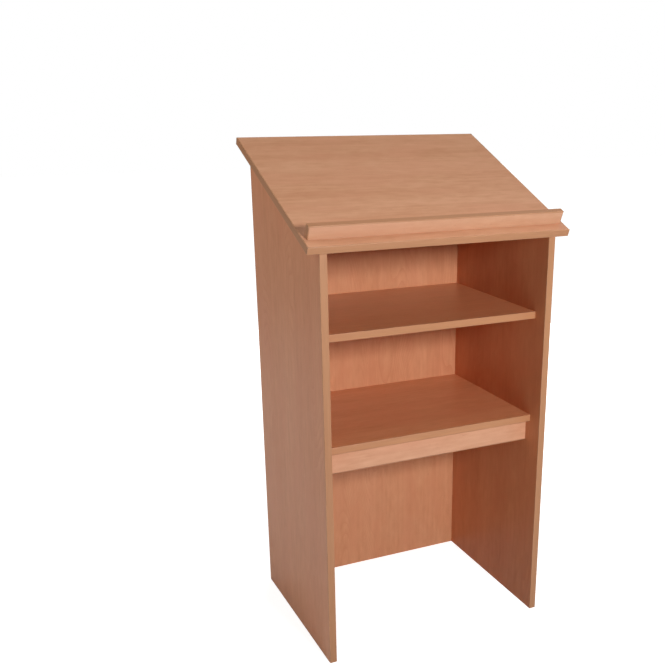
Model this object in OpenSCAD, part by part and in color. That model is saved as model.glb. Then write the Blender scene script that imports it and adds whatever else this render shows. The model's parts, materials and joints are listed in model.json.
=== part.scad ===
// Full-height lectern in beech-faced board, open on the speaker's side, with a sloping desk,
// a book stop, two shelves and a panel that faces the audience.
// x runs across the lectern, y from the speaker towards the audience, and z is up.
// The origin is on the floor, under the middle of the whole lectern.

/* [Carcass] */
// Width over the two side panels
carcass_w = 600; // [480:5:760]
// Depth of a side panel, from its speaker edge to its audience edge
side_depth = 465; // [400:5:560]
// Height of a side panel at its speaker edge
low_height = 1010; // [930:5:1100]
// Thickness of every board except the book stop
board_t = 18; // [16:1:22]
// How far the audience panel stands back from the side panels' audience edges
panel_inset = 3; // [0:1:20]

/* [Edge bands] */
// Thickness of the plastic edge bands
band_t = 2; // [1:0.5:3]
// Radius that the bands' corners are rounded to
band_r = 1.5; // [0.5:0.1:2]

/* [Desk] */
// Slope of the desk in degrees
desk_slope = 22.5; // [15:0.5:26]
// How far the desk runs past each side panel
desk_side_overhang = 30; // [12:1:60]
// How far the desk runs past the side panels at its low edge, along the slope
desk_low_overhang = 7; // [3:1:30]
// How far the desk runs past the side panels at its high edge, along the slope
desk_high_overhang = 10; // [3:1:40]

/* [Book stop] */
// Thickness of the book stop
stop_t = 16; // [12:1:22]
// Height of the book stop above the desk
stop_h = 32; // [27:1:50]
// Distance from the desk's low edge to the front of the book stop
stop_setback = 30; // [15:1:70]
// How far the book stop ends short of the desk at each end
stop_end_inset = 9; // [2:1:40]

/* [Shelves] */
// Height of the upper shelf's top above the floor
upper_shelf_z = 818; // [720:1:880]
// Height of the lower shelf's top above the floor
lower_shelf_z = 547; // [400:1:640]
// How far the shelves stand back from the side panels' speaker edges
shelf_inset = 43; // [10:1:90]
// Height of the rail under the lower shelf
shelf_rail_h = 56; // [50:1:90]
// How far that rail stands back from the shelf's front edge
shelf_rail_setback = 19; // [5:1:60]

/* [Closing strip] */
// Height of the bevelled strip between the audience panel and the desk, at its audience face
strip_h = 12; // [11:0.5:24]
// Joint between the strip and the top of the audience panel
strip_gap = 0.4; // [0.2:0.1:0.9]

/* [Dowels] */
// Diameter of the dowels
dowel_d = 8; // [6:1:8]
// Length of the dowels
dowel_l = 35; // [28:1:40]
// How far a dowel goes into the face of a board
dowel_in_face = 12; // [9:1:12]
// Chamfer on the dowels' ends
dowel_chamfer = 1; // [0.5:0.1:1.5]
// Clearance all round a dowel in its hole
dowel_clear = 0.1; // [0.05:0.05:0.2]
// Spare depth of a hole past the end of its dowel
dowel_room = 1; // [0.5:0.5:2]
// Dowels down each upright edge of the audience panel
panel_dowel_count = 5; // [3:1:8]
// Dowels in each end of a shelf
shelf_end_dowel_count = 3; // [2:1:5]
// Dowels along the back of a shelf
shelf_back_dowel_count = 3; // [2:1:6]
// Dowels along the top of the rail
rail_top_dowel_count = 3; // [2:1:6]
// Dowels between each side panel's sloping top and the desk
desk_dowel_count = 3; // [2:1:5]
// Distance from the end of a board to its first dowel
dowel_margin = 60; // [45:1:90]
// Distance from the rail's top and bottom edges to the two dowels in each of its ends
rail_dowel_margin = 15; // [12:1:18]

/* [Screws] */
// Thread diameter of the screws that hold the book stop
stop_screw_d = 4; // [3.5:0.5:5]
// Number of screws in the book stop
stop_screw_count = 5; // [3:1:8]
// Thread diameter of the screws that hold the closing strip
strip_screw_d = 3.5; // [3:0.5:4]
// Number of screws in the closing strip
strip_screw_count = 4; // [3:1:8]
// Board left over the points of the screws
screw_cover = 7; // [4:0.5:9]
// Distance from the side panels to the first screw
screw_margin = 40; // [25:1:80]
// Clearance all round a screw in its hole
screw_clear = 0.1; // [0.05:0.05:0.2]
// Pitch of the screws' threads
thread_pitch = 1.8; // [1.4:0.1:2.4]

/* [Hidden] */
$fn = 48;

BOARD = [0.82, 0.62, 0.48];
BAND = [0.76, 0.56, 0.42];
BEECH = [0.86, 0.72, 0.53];
STEEL = [0.72, 0.72, 0.74];
LEFT = -1;
RIGHT = 1;
// How far a cutting shape runs past the face that it cuts
over = 1;

// The slope
rise = tan(desk_slope);
slope_l = side_depth / cos(desk_slope);
high_height = underside(side_depth);

// The desk, measured along the slope from the side panels' low top corners
desk_low_s = -desk_low_overhang;
desk_high_s = slope_l + desk_high_overhang;
desk_w = carcass_w + 2 * desk_side_overhang;
desk_depth = desk_high_s - desk_low_s;

// The whole lectern from front to back, measured from the side panels' speaker edges
front_y = desk_low_s * cos(desk_slope) - board_t * sin(desk_slope);
back_y = desk_high_s * cos(desk_slope);
mid_y = (front_y + back_y) / 2;

// Between the side panels
inner_w = carcass_w - 2 * board_t;
inner_x = inner_w / 2;
side_mid_x = inner_x + board_t / 2;

// The audience panel and the strip over it
panel_face_y = side_depth - panel_inset;
panel_back_y = panel_face_y - board_t;
panel_mid_y = panel_face_y - board_t / 2;
strip_z = underside(panel_face_y) - strip_h;
panel_top_z = strip_z - strip_gap;

// The rail under the lower shelf
rail_front_y = shelf_inset + shelf_rail_setback;
rail_mid_y = rail_front_y + board_t / 2;
rail_top_z = lower_shelf_z - board_t;
rail_bottom_z = rail_top_z - shelf_rail_h;

// The book stop
stop_len = desk_w - 2 * stop_end_inset;
stop_front_s = desk_low_s + stop_setback;
stop_back_s = stop_front_s + stop_t;
stop_mid_s = (stop_front_s + stop_back_s) / 2;

// A band's rounded corner can't take up its whole thickness
corner_r = min(band_r, 0.9 * band_t);

// Proportions of a countersunk wood screw, as multiples of its thread diameter
head_part = 2;
rim_part = 0.1;
shank_part = 0.75;
core_part = 0.65;
tip_part = 1.2;
recess_length_part = 1.1;
recess_width_part = 0.2;
// Share of a screw's length that is threaded
threaded_share = 0.6;

// The screws' lengths; those in the strip stand upright
stop_screw_l = board_t + stop_h - band_t - screw_cover;
strip_screw_l = underside(panel_mid_y) + board_t / cos(desk_slope) - screw_cover - strip_z;

// Places of the dowels and screws along each joint
panel_dowel_z = spread(dowel_margin, panel_top_z - dowel_margin, panel_dowel_count);
shelf_dowel_y = spread(shelf_inset + dowel_margin, panel_back_y - dowel_margin, shelf_end_dowel_count);
shelf_dowel_x = spread(-inner_x + dowel_margin, inner_x - dowel_margin, shelf_back_dowel_count);
rail_dowel_x = spread(-inner_x + dowel_margin, inner_x - dowel_margin, rail_top_dowel_count);
rail_dowel_z = [rail_bottom_z + rail_dowel_margin, rail_top_z - rail_dowel_margin];
desk_dowel_s = spread(dowel_margin, slope_l - dowel_margin, desk_dowel_count);
stop_screw_x = spread(-inner_x + screw_margin, inner_x - screw_margin, stop_screw_count);
strip_screw_x = spread(-inner_x + screw_margin, inner_x - screw_margin, strip_screw_count);

// Height of the desk's underside at a distance y behind the side panels' speaker edges
function underside(y) = low_height + y * rise;

// A row of evenly spaced values from first to last
function spread(first, last, count) = [for (i = [0 : count - 1]) first + (last - first) * i / (count - 1)];

// Moves from the side panels' speaker edges to the middle of the lectern
module placed() {
  translate([0, -mid_y, 0]) children();
}

// Draws in the plane of the desk's underside: y runs up the slope and z stands square to it
module on_slope() {
  translate([0, 0, low_height]) rotate([desk_slope, 0, 0]) children();
}

// Cuts off whatever stands above the desk's underside
module under_desk() {
  difference() {
    children();
    on_slope() translate([-carcass_w, -side_depth, 0]) cube([2 * carcass_w, 3 * side_depth, side_depth]);
  }
}

// Cross-section of a band on an edge w wide: glued at y = 0, with its rounded corners at y = band_t
module band_section(w) {
  square([w, band_t - corner_r]);
  translate([corner_r, 0]) square([w - 2 * corner_r, band_t]);
  intersection() {
    square([w, band_t]);
    for (x = [corner_r, w - corner_r]) translate([x, band_t - corner_r]) circle(corner_r);
  }
}

// A band that lies along x, centred on x, facing +y and covering z from 0 to w
module band(length, w) {
  translate([length / 2, 0, 0]) rotate([0, -90, 0]) linear_extrude(length) band_section(w);
}

// A band that stands upright, centred on x and facing +y
module upright_band(height, w) {
  translate([-w / 2, 0, 0]) linear_extrude(height) band_section(w);
}

// A dowel across a joint at z = 0: its lower end is in the face of a board, its upper end in an edge
module dowel() {
  r = dowel_d / 2;
  top = dowel_l - dowel_in_face;
  rotate_extrude() polygon([
    [0, -dowel_in_face], [r - dowel_chamfer, -dowel_in_face], [r, dowel_chamfer - dowel_in_face],
    [r, top - dowel_chamfer], [r - dowel_chamfer, top], [0, top]
  ]);
}

// The hole for that dowel in both boards
module dowel_hole() {
  translate([0, 0, -dowel_in_face - dowel_room])
    cylinder(h = dowel_l + 2 * dowel_room, r = dowel_d / 2 + dowel_clear);
}

// Places a dowel between a side panel and the end of a board that meets it at y and z
module side_joint(side, y, z) {
  translate([side * inner_x, y, z]) rotate([0, -side * 90, 0]) children();
}

// Dowels between a side panel and the audience panel
module at_panel_side(side) {
  for (z = panel_dowel_z) side_joint(side, panel_mid_y, z) children();
}

// Dowels between a side panel and a shelf
module at_shelf_side(side, shelf_z) {
  for (y = shelf_dowel_y) side_joint(side, y, shelf_z - board_t / 2) children();
}

// Dowels between a side panel and the rail
module at_rail_side(side) {
  for (z = rail_dowel_z) side_joint(side, rail_mid_y, z) children();
}

// Dowels between a shelf's back edge and the audience panel
module at_shelf_back(shelf_z) {
  for (x = shelf_dowel_x) translate([x, panel_back_y, shelf_z - board_t / 2]) rotate([90, 0, 0]) children();
}

// Dowels between the rail's top edge and the lower shelf
module at_rail_top() {
  for (x = rail_dowel_x) translate([x, rail_mid_y, rail_top_z]) rotate([180, 0, 0]) children();
}

// Dowels between a side panel's sloping top edge and the desk
module at_desk_side(side) {
  on_slope() for (s = desk_dowel_s) translate([side * side_mid_x, s, 0]) rotate([180, 0, 0]) children();
}

// Screws up through the desk into the book stop
module at_stop_screws() {
  on_slope() for (x = stop_screw_x) translate([x, stop_mid_s, 0]) children();
}

// Screws up through the closing strip into the desk
module at_strip_screws() {
  for (x = strip_screw_x) translate([x, panel_mid_y, strip_z]) children();
}

// A countersunk screw with a cross recess; its head is at z = 0 and its point is at z = length
module screw(d, length) {
  head_r = head_part * d / 2;
  rim_h = rim_part * d;
  shank_r = shank_part * d / 2;
  core_r = core_part * d / 2;
  tip_z = length - tip_part * d;
  turns = floor((threaded_share * length - tip_part * d) / thread_pitch);
  thread_z = tip_z - turns * thread_pitch;
  recess_l = recess_length_part * d;
  recess_w = recess_width_part * d;
  difference() {
    rotate_extrude() polygon(concat(
      [[0, 0], [head_r, 0], [head_r, rim_h], [shank_r, rim_h + head_r - shank_r], [shank_r, thread_z]],
      [for (i = [1 : turns], crest = [true, false])
        crest ? [d / 2, thread_z + (i - 0.5) * thread_pitch] : [core_r, thread_z + i * thread_pitch]],
      [[0, length]]
    ));
    for (turned = [0, 90]) rotate(turned) translate([-recess_l / 2, -recess_w / 2, -over])
      cube([recess_l, recess_w, over + head_r - shank_r]);
  }
}

// The countersunk hole for that screw, clear of its thread
module screw_hole(d, length) {
  head_r = head_part * d / 2 + screw_clear;
  rim_h = rim_part * d;
  hole_r = d / 2 + screw_clear;
  translate([0, 0, -over]) cylinder(h = over + rim_h, r = head_r);
  translate([0, 0, rim_h]) cylinder(h = head_r - hole_r, r1 = head_r, r2 = hole_r);
  translate([0, 0, rim_h]) cylinder(h = length - rim_h + screw_clear, r = hole_r);
}

// A side panel without its bands, drilled for everything that is dowelled to it
module side_panel(side) {
  color(BOARD) placed() difference() {
    translate([side * side_mid_x - board_t / 2, 0, 0]) rotate([90, 0, 90]) linear_extrude(board_t)
      polygon([
        [band_t, 0], [side_depth - band_t, 0],
        [side_depth - band_t, underside(side_depth - band_t)], [band_t, underside(band_t)]
      ]);
    at_panel_side(side) dowel_hole();
    at_shelf_side(side, upper_shelf_z) dowel_hole();
    at_shelf_side(side, lower_shelf_z) dowel_hole();
    at_rail_side(side) dowel_hole();
    at_desk_side(side) dowel_hole();
  }
}

module side_speaker_band(side) {
  color(BAND) placed() under_desk() translate([side * side_mid_x, band_t, 0]) rotate([0, 0, 180])
    upright_band(high_height, board_t);
}

module side_audience_band(side) {
  color(BAND) placed() under_desk() translate([side * side_mid_x, side_depth - band_t, 0])
    upright_band(high_height + over, board_t);
}

// The panel that closes the audience side, from the floor up, between the side panels
module audience_panel() {
  color(BOARD) placed() difference() {
    translate([-inner_x, panel_back_y, 0]) cube([inner_w, board_t, panel_top_z]);
    for (side = [LEFT, RIGHT]) at_panel_side(side) dowel_hole();
    at_shelf_back(upper_shelf_z) dowel_hole();
    at_shelf_back(lower_shelf_z) dowel_hole();
  }
}

// The bevelled strip under the desk's high edge, in line with the audience panel's face
module closing_strip() {
  color(BOARD) placed() difference() {
    translate([-inner_x, 0, 0]) rotate([90, 0, 90]) linear_extrude(inner_w)
      polygon([
        [panel_back_y, strip_z], [panel_face_y, strip_z],
        [panel_face_y, underside(panel_face_y)], [panel_back_y, underside(panel_back_y)]
      ]);
    at_strip_screws() screw_hole(strip_screw_d, strip_screw_l);
  }
}

// The desk without its bands, drilled from below
module desk_board() {
  color(BOARD) placed() difference() {
    on_slope() translate([-desk_w / 2 + band_t, desk_low_s + band_t, 0])
      cube([desk_w - 2 * band_t, desk_depth - 2 * band_t, board_t]);
    for (side = [LEFT, RIGHT]) at_desk_side(side) dowel_hole();
    at_stop_screws() screw_hole(stop_screw_d, stop_screw_l);
    at_strip_screws() screw_hole(strip_screw_d, strip_screw_l);
  }
}

// The desk's low and high bands run its full width, over the ends of the other two
module desk_low_band() {
  color(BAND) placed() on_slope() translate([0, desk_low_s + band_t, 0]) rotate([0, 0, 180])
    band(desk_w, board_t);
}

module desk_high_band() {
  color(BAND) placed() on_slope() translate([0, desk_high_s - band_t, 0]) band(desk_w, board_t);
}

module desk_end_band(side) {
  color(BAND) placed() on_slope() translate([side * (desk_w / 2 - band_t), desk_low_s + desk_depth / 2, 0])
    rotate([0, 0, -side * 90]) band(desk_depth - 2 * band_t, board_t);
}

// The book stop without its bands, standing square to the desk
module book_stop() {
  color(BOARD) placed() difference() {
    on_slope() translate([-stop_len / 2 + band_t, stop_front_s, board_t])
      cube([stop_len - 2 * band_t, stop_t, stop_h - band_t]);
    at_stop_screws() screw_hole(stop_screw_d, stop_screw_l);
  }
}

// The stop's top band runs its full length, over the upper ends of the other two
module stop_top_band() {
  color(BAND) placed() on_slope() translate([0, stop_back_s, board_t + stop_h - band_t]) rotate([90, 0, 0])
    band(stop_len, stop_t);
}

module stop_end_band(side) {
  color(BAND) placed() on_slope() translate([side * (stop_len / 2 - band_t), stop_mid_s, board_t])
    rotate([0, 0, -side * 90]) upright_band(stop_h - band_t, stop_t);
}

// A shelf without its band, from its speaker edge back to the audience panel
module shelf(top_z) {
  difference() {
    translate([-inner_x, shelf_inset + band_t, top_z - board_t])
      cube([inner_w, panel_back_y - shelf_inset - band_t, board_t]);
    for (side = [LEFT, RIGHT]) at_shelf_side(side, top_z) dowel_hole();
    at_shelf_back(top_z) dowel_hole();
  }
}

module upper_shelf() {
  color(BOARD) placed() shelf(upper_shelf_z);
}

// The lower shelf is also drilled from below for its rail
module lower_shelf() {
  color(BOARD) placed() difference() {
    shelf(lower_shelf_z);
    at_rail_top() dowel_hole();
  }
}

module shelf_band(top_z) {
  color(BAND) placed() translate([0, shelf_inset + band_t, top_z - board_t]) rotate([0, 0, 180])
    band(inner_w, board_t);
}

// The rail that stiffens the lower shelf from below, without the band on its lower edge
module shelf_rail() {
  color(BOARD) placed() difference() {
    translate([-inner_x, rail_front_y, rail_bottom_z + band_t])
      cube([inner_w, board_t, shelf_rail_h - band_t]);
    for (side = [LEFT, RIGHT]) at_rail_side(side) dowel_hole();
    at_rail_top() dowel_hole();
  }
}

module shelf_rail_band() {
  color(BAND) placed() translate([0, rail_front_y, rail_bottom_z + band_t]) rotate([-90, 0, 0])
    band(inner_w, board_t);
}

// The dowels, one group for each joint
module panel_dowels(side) {
  color(BEECH) placed() at_panel_side(side) dowel();
}

module shelf_end_dowels(side, top_z) {
  color(BEECH) placed() at_shelf_side(side, top_z) dowel();
}

module shelf_back_dowels(top_z) {
  color(BEECH) placed() at_shelf_back(top_z) dowel();
}

module rail_end_dowels(side) {
  color(BEECH) placed() at_rail_side(side) dowel();
}

module rail_top_dowels() {
  color(BEECH) placed() at_rail_top() dowel();
}

module desk_dowels(side) {
  color(BEECH) placed() at_desk_side(side) dowel();
}

// The screws
module stop_screws() {
  color(STEEL) placed() at_stop_screws() screw(stop_screw_d, stop_screw_l);
}

module strip_screws() {
  color(STEEL) placed() at_strip_screws() screw(strip_screw_d, strip_screw_l);
}

side_panel(LEFT);  // side_panel_left
side_panel(RIGHT);  // side_panel_right
audience_panel();
closing_strip();
desk_board();
book_stop();
upper_shelf();
lower_shelf();
shelf_rail();
side_speaker_band(LEFT);  // left_side_speaker_band
side_audience_band(LEFT);  // left_side_audience_band
side_speaker_band(RIGHT);  // right_side_speaker_band
side_audience_band(RIGHT);  // right_side_audience_band
desk_low_band();
desk_high_band();
desk_end_band(LEFT);  // desk_left_band
desk_end_band(RIGHT);  // desk_right_band
stop_top_band();
stop_end_band(LEFT);  // stop_left_band
stop_end_band(RIGHT);  // stop_right_band
shelf_band(upper_shelf_z);  // upper_shelf_band
shelf_band(lower_shelf_z);  // lower_shelf_band
shelf_rail_band();
panel_dowels(LEFT);  // panel_dowels_left
panel_dowels(RIGHT);  // panel_dowels_right
shelf_end_dowels(LEFT, upper_shelf_z);  // upper_shelf_dowels_left
shelf_end_dowels(RIGHT, upper_shelf_z);  // upper_shelf_dowels_right
shelf_back_dowels(upper_shelf_z);  // upper_shelf_dowels_back
shelf_end_dowels(LEFT, lower_shelf_z);  // lower_shelf_dowels_left
shelf_end_dowels(RIGHT, lower_shelf_z);  // lower_shelf_dowels_right
shelf_back_dowels(lower_shelf_z);  // lower_shelf_dowels_back
rail_end_dowels(LEFT);  // rail_dowels_left
rail_end_dowels(RIGHT);  // rail_dowels_right
rail_top_dowels();  // rail_dowels_top
desk_dowels(LEFT);  // desk_dowels_left
desk_dowels(RIGHT);  // desk_dowels_right
stop_screws();
strip_screws();
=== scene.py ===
import json
import math

import bpy
from mathutils import Matrix, Vector


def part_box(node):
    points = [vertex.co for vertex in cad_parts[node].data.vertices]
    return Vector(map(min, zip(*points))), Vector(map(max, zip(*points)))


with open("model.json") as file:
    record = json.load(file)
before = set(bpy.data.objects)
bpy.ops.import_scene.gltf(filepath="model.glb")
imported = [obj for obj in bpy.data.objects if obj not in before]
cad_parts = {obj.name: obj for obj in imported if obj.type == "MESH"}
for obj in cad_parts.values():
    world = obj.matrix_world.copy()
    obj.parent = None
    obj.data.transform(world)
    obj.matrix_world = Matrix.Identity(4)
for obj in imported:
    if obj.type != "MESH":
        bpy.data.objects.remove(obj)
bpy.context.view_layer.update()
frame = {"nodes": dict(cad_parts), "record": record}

# The two side panels.
# 18 mm particle board with a beech print pressed on both faces, grain upright, its inner face tinted a shade
# redder as painted shade for the bounce light inside the bays.
# Each is sawn from one sheet with a sloping top, and stands on the floor without a foot.
UP = Vector((0, 0, 1))
TO_AUDIENCE = Vector((0, 1, 0))
TO_RIGHT = Vector((1, 0, 0))
BEECH_PALE = (0.715, 0.375, 0.217)
BEECH_DEEP = (0.585, 0.268, 0.139)
BEECH_BLUSH = (0.675, 0.318, 0.182)
BEECH_RING = (0.60, 0.262, 0.140)
BEECH_FLECK = (0.34, 0.13, 0.06)
CHIP_PALE = (0.55, 0.42, 0.27)
CHIP_DARK = (0.20, 0.12, 0.06)
CHIPS_PER_METRE = 480
# Painted shade: the inner faces are tinted redder than the outer ones, for the red bounce light inside the
# bays.
INNER_BOUNCE_SHADE_TINT = (1.04, 0.86, 0.72)
OUTER_LIT_TINT = (0.99, 0.84, 0.742)
BOARD_IOR = 1.37
SHEET_STEP_ALONG = 3.7
SHEET_STEP_THROUGH = 1.9


def new_group(name, inputs, outputs):
    """An empty shader group with the named sockets; gives the group and its two end nodes."""
    group = bpy.data.node_groups.new(name, "ShaderNodeTree")
    for socket, kind, value in inputs:
        made = group.interface.new_socket(socket, in_out="INPUT", socket_type="NodeSocket" + kind)
        if value is not None:
            made.default_value = value
    for socket, kind in outputs:
        group.interface.new_socket(socket, in_out="OUTPUT", socket_type="NodeSocket" + kind)
    return group, group.nodes.new("NodeGroupInput"), group.nodes.new("NodeGroupOutput")


def feed(tree, socket, value):
    """Puts a number, a colour or another node's output into a socket."""
    if isinstance(value, bpy.types.NodeSocket):
        tree.links.new(value, socket)
    elif socket.type == "RGBA":
        socket.default_value = (*value, 1)
    else:
        socket.default_value = value


def maths(tree, operation, *values, clamp=False):
    """One number worked out from others."""
    node = tree.nodes.new("ShaderNodeMath")
    node.operation = operation
    node.use_clamp = clamp
    for socket, value in zip(node.inputs, values):
        feed(tree, socket, value)
    return node.outputs[0]


def plus(tree, first, second, clamp=False):
    """The sum of two numbers; clamp keeps it from 0 to 1."""
    return maths(tree, "ADD", first, second, clamp=clamp)


def times(tree, first, second):
    """The product of two numbers."""
    return maths(tree, "MULTIPLY", first, second)


def noise(tree, place, along, across, detail=2.0, rough=0.5):
    """Noise from 0 to 1, with the given number of changes per metre along and across the grain."""
    stretched = tree.nodes.new("ShaderNodeVectorMath")
    stretched.operation = "MULTIPLY"
    feed(tree, stretched.inputs[0], place)
    stretched.inputs[1].default_value = (along, across, across)
    texture = tree.nodes.new("ShaderNodeTexNoise")
    texture.inputs["Scale"].default_value = 1
    texture.inputs["Detail"].default_value = detail
    texture.inputs["Roughness"].default_value = rough
    feed(tree, texture.inputs["Vector"], stretched.outputs[0])
    return texture.outputs["Fac"]


def centred(tree, value, size):
    """A value from 0 to 1, turned into one from -size / 2 to size / 2."""
    return times(tree, maths(tree, "SUBTRACT", value, 0.5), size)


def between(tree, low, high, value):
    """0 where value is under low, 1 where it is over high, and a smooth step in between."""
    node = tree.nodes.new("ShaderNodeMapRange")
    node.interpolation_type = "SMOOTHSTEP"
    feed(tree, node.inputs["Value"], value)
    node.inputs["From Min"].default_value = low
    node.inputs["From Max"].default_value = high
    return node.outputs[0]


def blended(tree, share, first, second, mode="MIX"):
    """The first colour, with the second in its place, or laid over it in another mode, by share."""
    node = tree.nodes.new("ShaderNodeMix")
    node.data_type = "RGBA"
    node.blend_type = mode
    factor, below, above, result = node.inputs[0], node.inputs[6], node.inputs[7], node.outputs[2]
    feed(tree, factor, share)
    feed(tree, below, first)
    feed(tree, above, second)
    return result


def growth_rings(tree, place):
    """How strongly a ring shows: one line every ring_gap, in tall arches about the board's middle that
    swell and close as the log did, and fade out here and there."""
    ring_gap = 0.007
    taper = 0.06
    arch_tip = 0.03
    bend_width = 0.08
    swell_width = 0.13
    ripple_width = 0.004
    sharpness = 3.0
    split = tree.nodes.new("ShaderNodeSeparateXYZ")
    feed(tree, split.inputs[0], place)
    lengthwise, crosswise = split.outputs[0], split.outputs[1]
    bend = centred(tree, noise(tree, place, along=1.3, across=3.5, detail=1.0), bend_width)
    swell = centred(tree, noise(tree, place, along=2.8, across=12.0, detail=0.0), swell_width)
    ripple = centred(tree, noise(tree, place, along=9.0, across=40.0), ripple_width)
    bent = plus(tree, crosswise, bend)
    spread = maths(tree, "SQRT", plus(tree, times(tree, bent, bent), arch_tip ** 2))
    arch = maths(tree, "SUBTRACT", spread, times(tree, lengthwise, taper))
    ring_place = plus(tree, arch, plus(tree, swell, ripple))
    ring = maths(tree, "FRACT", maths(tree, "DIVIDE", ring_place, ring_gap))
    shows = between(tree, 0.42, 0.66, noise(tree, place, along=2.2, across=9.0, detail=1.0))
    return times(tree, maths(tree, "POWER", ring, sharpness), shows)


def make_beech_print():
    """The printed beech: faint growth rings, streaks, a pink blush and short ray flecks."""
    blush_share = 0.55
    broad_fleck_share = 0.22
    middle_tone = 0.42
    middle_roughness = 0.33
    group, start, end = new_group("Beech print", [
        ("Place", "Vector", None),
        ("Pale", "Color", (*BEECH_PALE, 1)),
        ("Deep", "Color", (*BEECH_DEEP, 1)),
        ("Blush", "Color", (*BEECH_BLUSH, 1)),
        ("Tint", "Color", (1, 1, 1, 1)),
        ("Ring", "Color", (*BEECH_RING, 1)),
        ("Ring strength", "Float", 0.7),
        ("Streak strength", "Float", 1.0),
        ("Fleck strength", "Float", 0.16),
    ], [("Color", "Color"), ("Roughness", "Float"), ("Relief", "Float")])
    given = start.outputs
    place = given["Place"]

    # Streaks along the grain, from broad bands down to single fibres
    bands = centred(group, noise(group, place, along=0.9, across=20.0, detail=1.0), 0.8)
    lines = centred(group, noise(group, place, along=7.0, across=130.0, detail=3.0), 0.8)
    mottle = centred(group, noise(group, place, along=24.0, across=75.0, detail=3.0), 0.95)
    fibre = noise(group, place, along=30.0, across=1500.0)
    long_streaks = plus(group, bands, lines)
    short_streaks = plus(group, mottle, centred(group, fibre, 0.35))
    streaks = times(group, plus(group, long_streaks, short_streaks), given["Streak strength"])
    tone = plus(group, streaks, middle_tone, clamp=True)
    colour = blended(group, tone, given["Pale"], given["Deep"])

    # A pink blush in soft patches, the rings over it, and ray flecks, many fine ones and a few broad ones
    patch = between(group, 0.42, 0.70, noise(group, place, along=5.0, across=16.0, detail=3.0))
    colour = blended(group, times(group, patch, blush_share), colour, given["Blush"])
    rings = times(group, growth_rings(group, place), given["Ring strength"])
    colour = blended(group, rings, colour, given["Ring"])
    fine = between(group, 0.60, 0.72, noise(group, place, along=260.0, across=2100.0, detail=1.0))
    broad = between(group, 0.70, 0.80, noise(group, place, along=70.0, across=300.0, detail=1.0))
    flecks = plus(group, times(group, fine, given["Fleck strength"]), times(group, broad, broad_fleck_share))
    colour = blended(group, flecks, colour, BEECH_FLECK)
    feed(group, end.inputs["Color"], blended(group, 1.0, colour, given["Tint"], mode="MULTIPLY"))

    # The pressed finish: a fine grain in the sheen, patches rubbed smoother, and pores along the fibres
    gloss = centred(group, noise(group, place, along=60.0, across=420.0), 0.12)
    rubbed = centred(group, noise(group, place, along=3.0, across=5.0), 0.09)
    feed(group, end.inputs["Roughness"], plus(group, plus(group, gloss, rubbed), middle_roughness))
    stipple = noise(group, place, along=900.0, across=1300.0, detail=1.0)
    feed(group, end.inputs["Relief"], plus(group, times(group, fibre, 0.6), times(group, stipple, 0.4)))
    return group


def make_chipboard():
    """The sawn edge of particle board: pressed chips, with dust and pits between them; the pits are painted
    dark, as painted shade.
    """
    chip_contrast = 0.45
    middle_roughness = 0.85
    group, start, end = new_group("Chipboard edge", [
        ("Place", "Vector", None),
        ("Pale", "Color", (*CHIP_PALE, 1)),
        ("Dark", "Color", (*CHIP_DARK, 1)),
    ], [("Color", "Color"), ("Roughness", "Float"), ("Relief", "Float")])
    given = start.outputs
    chips = group.nodes.new("ShaderNodeTexVoronoi")
    chips.inputs["Scale"].default_value = CHIPS_PER_METRE
    feed(group, chips.inputs["Vector"], given["Place"])
    shade = group.nodes.new("ShaderNodeSeparateColor")
    feed(group, shade.inputs[0], chips.outputs["Color"])
    dust = noise(group, given["Place"], along=900.0, across=900.0, detail=4.0, rough=0.7)
    # Painted shade: the pits are painted dark.
    pits = between(group, 0.58, 0.74, dust)
    colour = blended(group, times(group, shade.outputs[0], chip_contrast), given["Pale"], given["Dark"])
    feed(group, end.inputs["Color"], blended(group, pits, colour, given["Dark"]))
    feed(group, end.inputs["Roughness"], plus(group, centred(group, dust, 0.2), middle_roughness))
    feed(group, end.inputs["Relief"], maths(group, "SUBTRACT", 1.0, pits))
    return group


beech_print = make_beech_print()
chipboard = make_chipboard()


def new_material(name):
    """An empty material with its shader; gives the material, its node tree and the shader."""
    material = bpy.data.materials.new(name)
    material.use_nodes = True
    tree = material.node_tree
    return material, tree, tree.nodes["Principled BSDF"]


def dress(node_name, material):
    """Puts a material on a piece of the frame."""
    for slot in frame["nodes"][node_name].material_slots:
        slot.material = material


def board_place(tree, grain, width, centre, seed):
    """Places on a board in metres: x along the grain, y across it from centre, z through the board.
    Each seed stands for another part of the printed sheet."""
    coordinates = tree.nodes.new("ShaderNodeTexCoord")
    turned = Matrix((grain, width, grain.cross(width)))
    part_of_sheet = Vector((seed * SHEET_STEP_ALONG, 0, seed * SHEET_STEP_THROUGH))
    mapping = tree.nodes.new("ShaderNodeMapping")
    mapping.inputs["Rotation"].default_value = turned.to_euler()
    mapping.inputs["Location"].default_value = part_of_sheet - turned @ centre
    feed(tree, mapping.inputs["Vector"], coordinates.outputs["Object"])
    return mapping.outputs["Vector"]


def placed_group(tree, group, **values):
    """A group node in a material, with its inputs set; underscores in the names stand for spaces."""
    node = tree.nodes.new("ShaderNodeGroup")
    node.node_tree = group
    for name, value in values.items():
        feed(tree, node.inputs[name.replace("_", " ")], value)
    return node


def facing(tree, normal, direction):
    """How squarely the surface faces a direction, from -1 to 1; normal says which of its normals."""
    geometry = tree.nodes.new("ShaderNodeNewGeometry")
    product = tree.nodes.new("ShaderNodeVectorMath")
    product.operation = "DOT_PRODUCT"
    feed(tree, product.inputs[0], geometry.outputs[normal])
    product.inputs[1].default_value = direction
    return product.outputs["Value"]


def relief(tree, shader, height, depth, strength):
    """Gives the shader a bump of the given depth in metres."""
    bump = tree.nodes.new("ShaderNodeBump")
    bump.inputs["Distance"].default_value = depth
    bump.inputs["Strength"].default_value = strength
    feed(tree, bump.inputs["Height"], height)
    feed(tree, shader.inputs["Normal"], bump.outputs[0])


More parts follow.
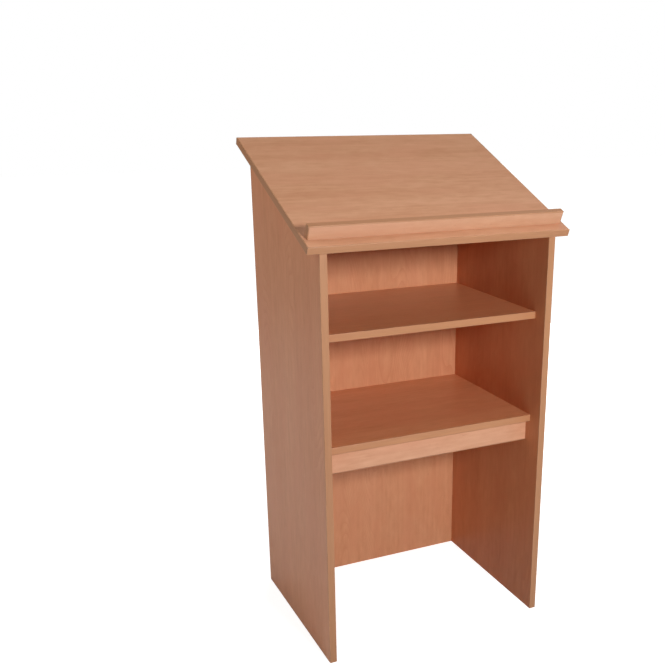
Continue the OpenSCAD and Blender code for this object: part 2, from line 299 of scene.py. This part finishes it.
def faced_board(name, node_name, grain, width, arch=0.0, seed=0, outer=None, **print_values):
    """Dresses a piece as faced board: the beech print on both faces, and bare chips where it is sawn. The
    rings' arches stand arch metres from its middle. With an outer tint, the face that looks along
    grain x width has that tint, and the other face has Tint."""
    material, tree, shader = new_material(name)
    low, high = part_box(node_name)
    place = board_place(tree, grain, width, (low + high) / 2 + width * arch, seed)
    through = facing(tree, "True Normal", grain.cross(width))
    if outer:
        outside = between(tree, 0.0, 0.5, through)
        print_values["Tint"] = blended(tree, outside, print_values["Tint"], outer)
    face = placed_group(tree, beech_print, Place=place, **print_values)
    core = placed_group(tree, chipboard, Place=place)
    faced = between(tree, 0.90, 0.95, maths(tree, "ABSOLUTE", through))
    colour, roughness, height = (blended(tree, faced, core.outputs[effect], face.outputs[effect])
                                 for effect in ("Color", "Roughness", "Relief"))
    feed(tree, shader.inputs["Base Color"], colour)
    feed(tree, shader.inputs["Roughness"], roughness)
    relief(tree, shader, height, depth=0.0002, strength=0.18)
    shader.inputs["IOR"].default_value = BOARD_IOR
    dress(node_name, material)


faced_board("left side board", "side_panel_left", UP, TO_AUDIENCE, arch=0.06, seed=1,
            outer=OUTER_LIT_TINT, Tint=INNER_BOUNCE_SHADE_TINT)
faced_board("right side board", "side_panel_right", -UP, TO_AUDIENCE, arch=-0.05, seed=2,
            outer=OUTER_LIT_TINT, Tint=INNER_BOUNCE_SHADE_TINT)

# The audience panel.
# The same faced board, grain upright, dowelled between the side panels and set back a little from their
# audience edges. It reaches the floor and is what the audience sees.
# Painted light and shade: the inner face is tinted redder, for the red bounce light at the back of the bays,
# and the outer face paler and bluer, for its bright direct light.
AUDIENCE_INNER_BOUNCE_TINT = (1.03, 0.965, 0.915)
AUDIENCE_OUTER_LIT_TINT = (1.02, 1.04, 1.10)
faced_board("audience board", "audience_panel", UP, TO_RIGHT, arch=0.04, seed=3,
            outer=AUDIENCE_OUTER_LIT_TINT, Tint=AUDIENCE_INNER_BOUNCE_TINT)

# The closing strip.
# An offcut of the same board, ripped and bevelled to fill the wedge between the audience panel and the
# desk, with its grain running across. It is screwed up into the desk.
faced_board("closing strip board", "closing_strip", TO_RIGHT, UP, seed=4)

# The two shelves and the rail.
# Faced board with the grain running across the lectern. The rail stands on edge under the lower shelf,
# set back from its front, and keeps it from sagging.
# Painted shade: the shelves are tinted redder, like the side panels' inner faces, for the red bounce light
# inside the bays.
SHELF_BOUNCE_SHADE_TINT = (1.03, 0.845, 0.705)
RAIL_TINT = (0.995, 1.02, 1.09)
faced_board("upper shelf board", "upper_shelf", TO_RIGHT, TO_AUDIENCE, arch=0.1, seed=5,
            Tint=SHELF_BOUNCE_SHADE_TINT, Ring_strength=0.25)
faced_board("lower shelf board", "lower_shelf", TO_RIGHT, TO_AUDIENCE, arch=-0.12, seed=6,
            Tint=SHELF_BOUNCE_SHADE_TINT, Ring_strength=0.25)
faced_board("shelf rail board", "shelf_rail", TO_RIGHT, UP, arch=0.05, seed=7,
            Tint=RAIL_TINT, Ring_strength=0.2)

# The desk and its book stop.
# The desk is faced board with its grain running across, dowelled onto the side panels' sloping tops. The
# stop is a narrower strip that stands square to the desk and is screwed from below.
DESK_TINT = (0.995, 1.01, 1.035)
STOP_TINT = (0.955, 1.045, 1.14)
desk_normal = Vector(next(m["axis"] for m in frame["record"]["mounts"] if m["name"] == "desk_face"))
up_slope = desk_normal.cross(TO_RIGHT)
faced_board("desk board", "desk_board", TO_RIGHT, up_slope, arch=0.13, seed=8,
            Tint=DESK_TINT, Ring_strength=0.25, Streak_strength=1.25)
faced_board("book stop board", "book_stop", TO_RIGHT, desk_normal, arch=0.05, seed=9,
            Tint=STOP_TINT, Ring_strength=0.2)

# The edge bands.
# Strips of beech-coloured plastic, 2 mm thick, glued over the sawn edges. Their print is plainer and browner
# than the boards', their corners are painted paler in patches, partly as rubbed wear and partly as a painted
# highlight on the rounding, and the shelves' come from a slightly warmer roll.
BAND_PALE = (0.54, 0.262, 0.131)
BAND_DEEP = (0.415, 0.185, 0.085)
BAND_RUB_AND_HIGHLIGHT = (0.66, 0.36, 0.21)
SHELF_BAND_PALE = (0.572, 0.268, 0.129)
SHELF_BAND_DEEP = (0.44, 0.189, 0.084)
GLUE_BROWN = (0.16, 0.075, 0.035)
BAND_IOR = 1.48
ROLL_STEP = 2.3


def make_band_print():
    """The bands' plain print: long fibres and slow changes of tone, the glue line at Place z = 0, and
    corners painted paler and smoother here and there, partly as rubbed wear and partly as a painted
    highlight on the rounding."""
    middle_tone = 0.45
    middle_roughness = 0.40
    glue_share = 0.6
    rub_and_highlight_share = 0.5
    rubbed_polish = 0.12
    group, start, end = new_group("Band print", [
        ("Place", "Vector", None),
        ("Pale", "Color", (*BAND_PALE, 1)),
        ("Deep", "Color", (*BAND_DEEP, 1)),
        ("Corner", "Float", 0.0),
    ], [("Color", "Color"), ("Roughness", "Float"), ("Relief", "Float")])
    given = start.outputs
    place = given["Place"]
    fibre = noise(group, place, along=18.0, across=700.0, detail=3.0)
    slow = noise(group, place, along=2.5, across=60.0)
    changes = plus(group, centred(group, fibre, 0.9), centred(group, slow, 0.8))
    tone = plus(group, changes, middle_tone, clamp=True)
    colour = blended(group, tone, given["Pale"], given["Deep"])
    split = group.nodes.new("ShaderNodeSeparateXYZ")
    feed(group, split.inputs[0], place)
    glue = maths(group, "SUBTRACT", 1.0, between(group, 0.0001, 0.0004, split.outputs[2]))
    colour = blended(group, times(group, glue, glue_share), colour, GLUE_BROWN)
    # Painted highlight and wear: patches of the rounded corners are painted paler and made smoother.
    touched = between(group, 0.38, 0.60, noise(group, place, along=9.0, across=30.0, detail=3.0, rough=0.6))
    rubbed = times(group, given["Corner"], touched)
    colour = blended(group, times(group, rubbed, rub_and_highlight_share), colour, BAND_RUB_AND_HIGHLIGHT)
    feed(group, end.inputs["Color"], colour)
    satin = plus(group, centred(group, fibre, 0.12), middle_roughness)
    roughness = maths(group, "SUBTRACT", satin, times(group, rubbed, rubbed_polish))
    feed(group, end.inputs["Roughness"], roughness)
    feed(group, end.inputs["Relief"], fibre)
    return group


band_print = make_band_print()


def glued_point(node_name, outward):
    """A point on the face that a band is glued by. On a sloping band it comes from the mesh, since the
    box's corners lie off that face."""
    low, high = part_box(node_name)
    points = [Vector((x, y, z)) for x in (low.x, high.x) for y in (low.y, high.y) for z in (low.z, high.z)]
    if outward.y != 0 and outward.z != 0:
        points = [vertex.co for vertex in frame["nodes"][node_name].data.vertices]
    return min(points, key=lambda point: point.dot(outward))


def edge_band(node_name, length, outward, number, **print_values):
    """Dresses a band whose length runs along one direction, and which faces outward from the glued edge.
    Each number stands for another stretch of the roll."""
    material, tree, shader = new_material(node_name.replace("_", " "))
    place = board_place(tree, length, outward.cross(length), glued_point(node_name, outward), 0)
    stretch = tree.nodes.new("ShaderNodeVectorMath")
    stretch.operation = "ADD"
    feed(tree, stretch.inputs[0], place)
    stretch.inputs[1].default_value = (number * ROLL_STEP, 0, 0)
    # The rounded corners, told by the normal, get the paler paint: partly rubbed wear, partly a painted
    # highlight.
    squarely = facing(tree, "Normal", outward)
    turned = between(tree, 0.15, 0.40, squarely)
    flat = between(tree, 0.85, 0.98, squarely)
    corner = maths(tree, "SUBTRACT", turned, flat)
    band = placed_group(tree, band_print, Place=stretch.outputs[0], Corner=corner, **print_values)
    feed(tree, shader.inputs["Base Color"], band.outputs["Color"])
    feed(tree, shader.inputs["Roughness"], band.outputs["Roughness"])
    relief(tree, shader, band.outputs["Relief"], depth=0.0002, strength=0.15)
    shader.inputs["IOR"].default_value = BAND_IOR
    dress(node_name, material)


plain_roll = {}
warm_roll = {"Pale": SHELF_BAND_PALE, "Deep": SHELF_BAND_DEEP}
for number, (node_name, length, outward, roll) in enumerate([
    ("left_side_speaker_band", UP, -TO_AUDIENCE, plain_roll),
    ("right_side_speaker_band", UP, -TO_AUDIENCE, plain_roll),
    ("left_side_audience_band", UP, TO_AUDIENCE, plain_roll),
    ("right_side_audience_band", UP, TO_AUDIENCE, plain_roll),
    ("upper_shelf_band", TO_RIGHT, -TO_AUDIENCE, warm_roll),
    ("lower_shelf_band", TO_RIGHT, -TO_AUDIENCE, warm_roll),
    ("shelf_rail_band", TO_RIGHT, -UP, plain_roll),
    ("desk_low_band", TO_RIGHT, -up_slope, plain_roll),
    ("desk_high_band", TO_RIGHT, up_slope, plain_roll),
    ("desk_left_band", up_slope, -TO_RIGHT, plain_roll),
    ("desk_right_band", up_slope, TO_RIGHT, plain_roll),
    ("stop_top_band", TO_RIGHT, desk_normal, plain_roll),
    ("stop_left_band", desk_normal, -TO_RIGHT, plain_roll),
    ("stop_right_band", desk_normal, TO_RIGHT, plain_roll),
]):
    edge_band(node_name, length, outward, number, **roll)

# The dowels.
# Turned beech pegs, glued into blind holes across every joint. They are bare wood, paler than the print
# and without its sheen.
DOWEL_PALE = (0.72, 0.50, 0.30)
DOWEL_DEEP = (0.60, 0.38, 0.20)
DOWEL_BLUSH = (0.66, 0.44, 0.26)
BARE_WOOD_ROUGHNESS = 0.25
for number, node_name in enumerate(sorted(name for name in frame["nodes"] if "dowels" in name)):
    material, tree, shader = new_material(node_name.replace("_", " "))
    low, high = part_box(node_name)
    place = board_place(tree, TO_RIGHT, TO_AUDIENCE, (low + high) / 2, number)
    wood = placed_group(tree, beech_print, Place=place, Pale=DOWEL_PALE, Deep=DOWEL_DEEP,
                        Blush=DOWEL_BLUSH, Ring_strength=0.2)
    feed(tree, shader.inputs["Base Color"], wood.outputs["Color"])
    feed(tree, shader.inputs["Roughness"], plus(tree, wood.outputs["Roughness"], BARE_WOOD_ROUGHNESS))
    relief(tree, shader, wood.outputs["Relief"], depth=0.0002, strength=0.3)
    dress(node_name, material)

# The screws.
# Countersunk steel screws with a bright zinc plate, driven up from under the desk. Only their heads show,
# just behind the low edge of the desk's underside and under the closing strip.
ZINC = (0.62, 0.63, 0.65)
ZINC_DULL = (0.42, 0.43, 0.46)
ZINC_ROUGHNESS = 0.34
for node_name in ("stop_screws", "strip_screws"):
    material, tree, shader = new_material(node_name.replace("_", " "))
    place = board_place(tree, TO_RIGHT, TO_AUDIENCE, Vector(), 0)
    cloud = noise(tree, place, along=900.0, across=900.0, detail=4.0, rough=0.65)
    dulled = between(tree, 0.45, 0.75, cloud)
    feed(tree, shader.inputs["Base Color"], blended(tree, dulled, ZINC, ZINC_DULL))
    feed(tree, shader.inputs["Roughness"], plus(tree, centred(tree, cloud, 0.3), ZINC_ROUGHNESS))
    relief(tree, shader, cloud, depth=0.0001, strength=0.2)
    shader.inputs["Metallic"].default_value = 1
    dress(node_name, material)

# The floor.
# A plain pale studio floor. It takes the lectern's soft shadows and runs out to white around it, as a swept
# studio background does; the whitening is a painted glow, which the camera sees strongly and which grows
# away from the lectern, and a weaker glow, stronger far out, lights the lectern like a lamp.
FLOOR_HALF = 14.0
FLOOR_GREY = (0.70, 0.70, 0.70, 1)
WHITE_GLOW_START = 0.3
WHITE_GLOW_END = 1.8
NEAR_GLOW_COLOUR = (0.78, 0.78, 0.78)
FAR_GLOW_COLOUR = (1, 1, 1)
GLOW_START = 0.9
GLOW_END = 3.0
FAR_GLOW = 0.13
SEEN_GLOW = 0.95
NEAR_GLOW = 0.05
floor_mesh = bpy.data.meshes.new("studio floor")
floor_mesh.from_pydata(
    [(-FLOOR_HALF, -FLOOR_HALF, 0), (FLOOR_HALF, -FLOOR_HALF, 0), (FLOOR_HALF, FLOOR_HALF, 0),
     (-FLOOR_HALF, FLOOR_HALF, 0)], [], [(0, 1, 2, 3)])
floor = bpy.data.objects.new("studio_floor", floor_mesh)
bpy.context.scene.collection.objects.link(floor)
floor_paint, tree, shader = new_material("pale floor")
shader.inputs["Base Color"].default_value = FLOOR_GREY
shader.inputs["Roughness"].default_value = 0.8
shader.inputs["Specular IOR Level"].default_value = 0.1
coordinates = tree.nodes.new("ShaderNodeTexCoord")
reach = tree.nodes.new("ShaderNodeVectorMath")
reach.operation = "LENGTH"
feed(tree, reach.inputs[0], coordinates.outputs["Object"])
# Painted glow: the floor's glowing colour whitens with distance from the lectern.
white_glow_share = between(tree, WHITE_GLOW_START, WHITE_GLOW_END, reach.outputs["Value"])
feed(tree, shader.inputs["Emission Color"], blended(tree, white_glow_share, NEAR_GLOW_COLOUR, FAR_GLOW_COLOUR))
path = tree.nodes.new("ShaderNodeLightPath")
# Painted light: the floor glows, strongly to the camera, and weakly, more far out, onto the lectern.
far_glow = times(tree, between(tree, GLOW_START, GLOW_END, reach.outputs["Value"]), FAR_GLOW)
seen_glow = times(tree, path.outputs["Is Camera Ray"], SEEN_GLOW)
glow = plus(tree, plus(tree, far_glow, seen_glow), NEAR_GLOW)
feed(tree, shader.inputs["Emission Strength"], glow)
floor_mesh.materials.append(floor_paint)

# The light.
# One soft box straight in front of the lectern, a little above its desk, gives the shadows. Large, dimmer
# ones at both sides, overhead and behind fill the rest, against a white background.
BOX_AIM = Vector((0, 0, 0.6))
world = bpy.data.worlds.new("white background")
bpy.context.scene.world = world
world.use_nodes = True
room = world.node_tree
soft = room.nodes["Background"]
soft.inputs["Color"].default_value = (1, 1, 1, 1)
soft.inputs["Strength"].default_value = 0.01
seen = room.nodes.new("ShaderNodeBackground")
seen.inputs["Color"].default_value = (1, 1, 1, 1)
seen.inputs["Strength"].default_value = 1.0
path = room.nodes.new("ShaderNodeLightPath")
either = room.nodes.new("ShaderNodeMixShader")
feed(room, either.inputs[0], path.outputs["Is Camera Ray"])
feed(room, either.inputs[1], soft.outputs[0])
feed(room, either.inputs[2], seen.outputs[0])
feed(room, room.nodes["World Output"].inputs["Surface"], either.outputs[0])


def direction(azimuth, elevation):
    """The direction away from the lectern at an azimuth and elevation in degrees; the speaker is at 0."""
    turn, rise = math.radians(azimuth), math.radians(elevation)
    return Vector((math.sin(turn) * math.cos(rise), -math.cos(turn) * math.cos(rise), math.sin(rise)))


def soft_box(name, azimuth, elevation, distance, width, height, power):
    """A soft box that faces the lectern's middle, from an azimuth and elevation in degrees."""
    away = direction(azimuth, elevation)
    lamp = bpy.data.lights.new(name, "AREA")
    lamp.shape = "RECTANGLE"
    lamp.size = width
    lamp.size_y = height
    lamp.energy = power
    box = bpy.data.objects.new(name, lamp)
    bpy.context.scene.collection.objects.link(box)
    box.location = BOX_AIM + away * distance
    box.rotation_euler = away.to_track_quat("Z", "Y").to_euler()


soft_box("front_box", azimuth=3.5, elevation=21.8, distance=2.585, width=0.36, height=0.36, power=46)
soft_box("left_box", azimuth=-101, elevation=38, distance=3.0, width=1.6, height=1.8, power=23.5)
soft_box("low_left_box", azimuth=-105, elevation=12, distance=3.0, width=1.8, height=1.8, power=10.5)
soft_box("right_box", azimuth=90, elevation=60, distance=3.0, width=1.8, height=1.8, power=16)
soft_box("top_box", azimuth=0, elevation=88, distance=3.0, width=1.8, height=1.8, power=12)
soft_box("rear_box", azimuth=150, elevation=4, distance=3.2, width=1.8, height=1.6, power=62)

# The camera.
# It stands at the speaker's left, above the desk's height, as in the photograph. The lectern's picture sits
# right of and below the middle of the frame, which the shift gives.
FRAME_PIXELS = 665
FOCAL_PIXELS = 924.2
AXIS_X_PIXELS = 414.6
AXIS_Y_PIXELS = 409.4
CAMERA_AZIMUTH = -26.678
CAMERA_ELEVATION = 19.081
CAMERA_ROLL = 0.393
CAMERA_DISTANCE = 2.4326
CAMERA_AIM = Vector((0.0403, -0.0054, 0.5404))

lens = bpy.data.cameras.new("studio camera")
lens.sensor_width = 36
lens.lens = FOCAL_PIXELS / FRAME_PIXELS * lens.sensor_width
lens.shift_x = (FRAME_PIXELS / 2 - AXIS_X_PIXELS) / FRAME_PIXELS
lens.shift_y = (AXIS_Y_PIXELS - FRAME_PIXELS / 2) / FRAME_PIXELS
lens.clip_end = 100
camera = bpy.data.objects.new("studio_camera", lens)
bpy.context.scene.collection.objects.link(camera)
back = direction(CAMERA_AZIMUTH, CAMERA_ELEVATION)
camera.location = CAMERA_AIM + back * CAMERA_DISTANCE
level = back.to_track_quat("Z", "Y").to_matrix()
camera.rotation_euler = (level @ Matrix.Rotation(math.radians(CAMERA_ROLL), 3, "Z")).to_euler()
bpy.context.scene.camera = camera
bpy.context.scene.view_settings.view_transform = "Standard"
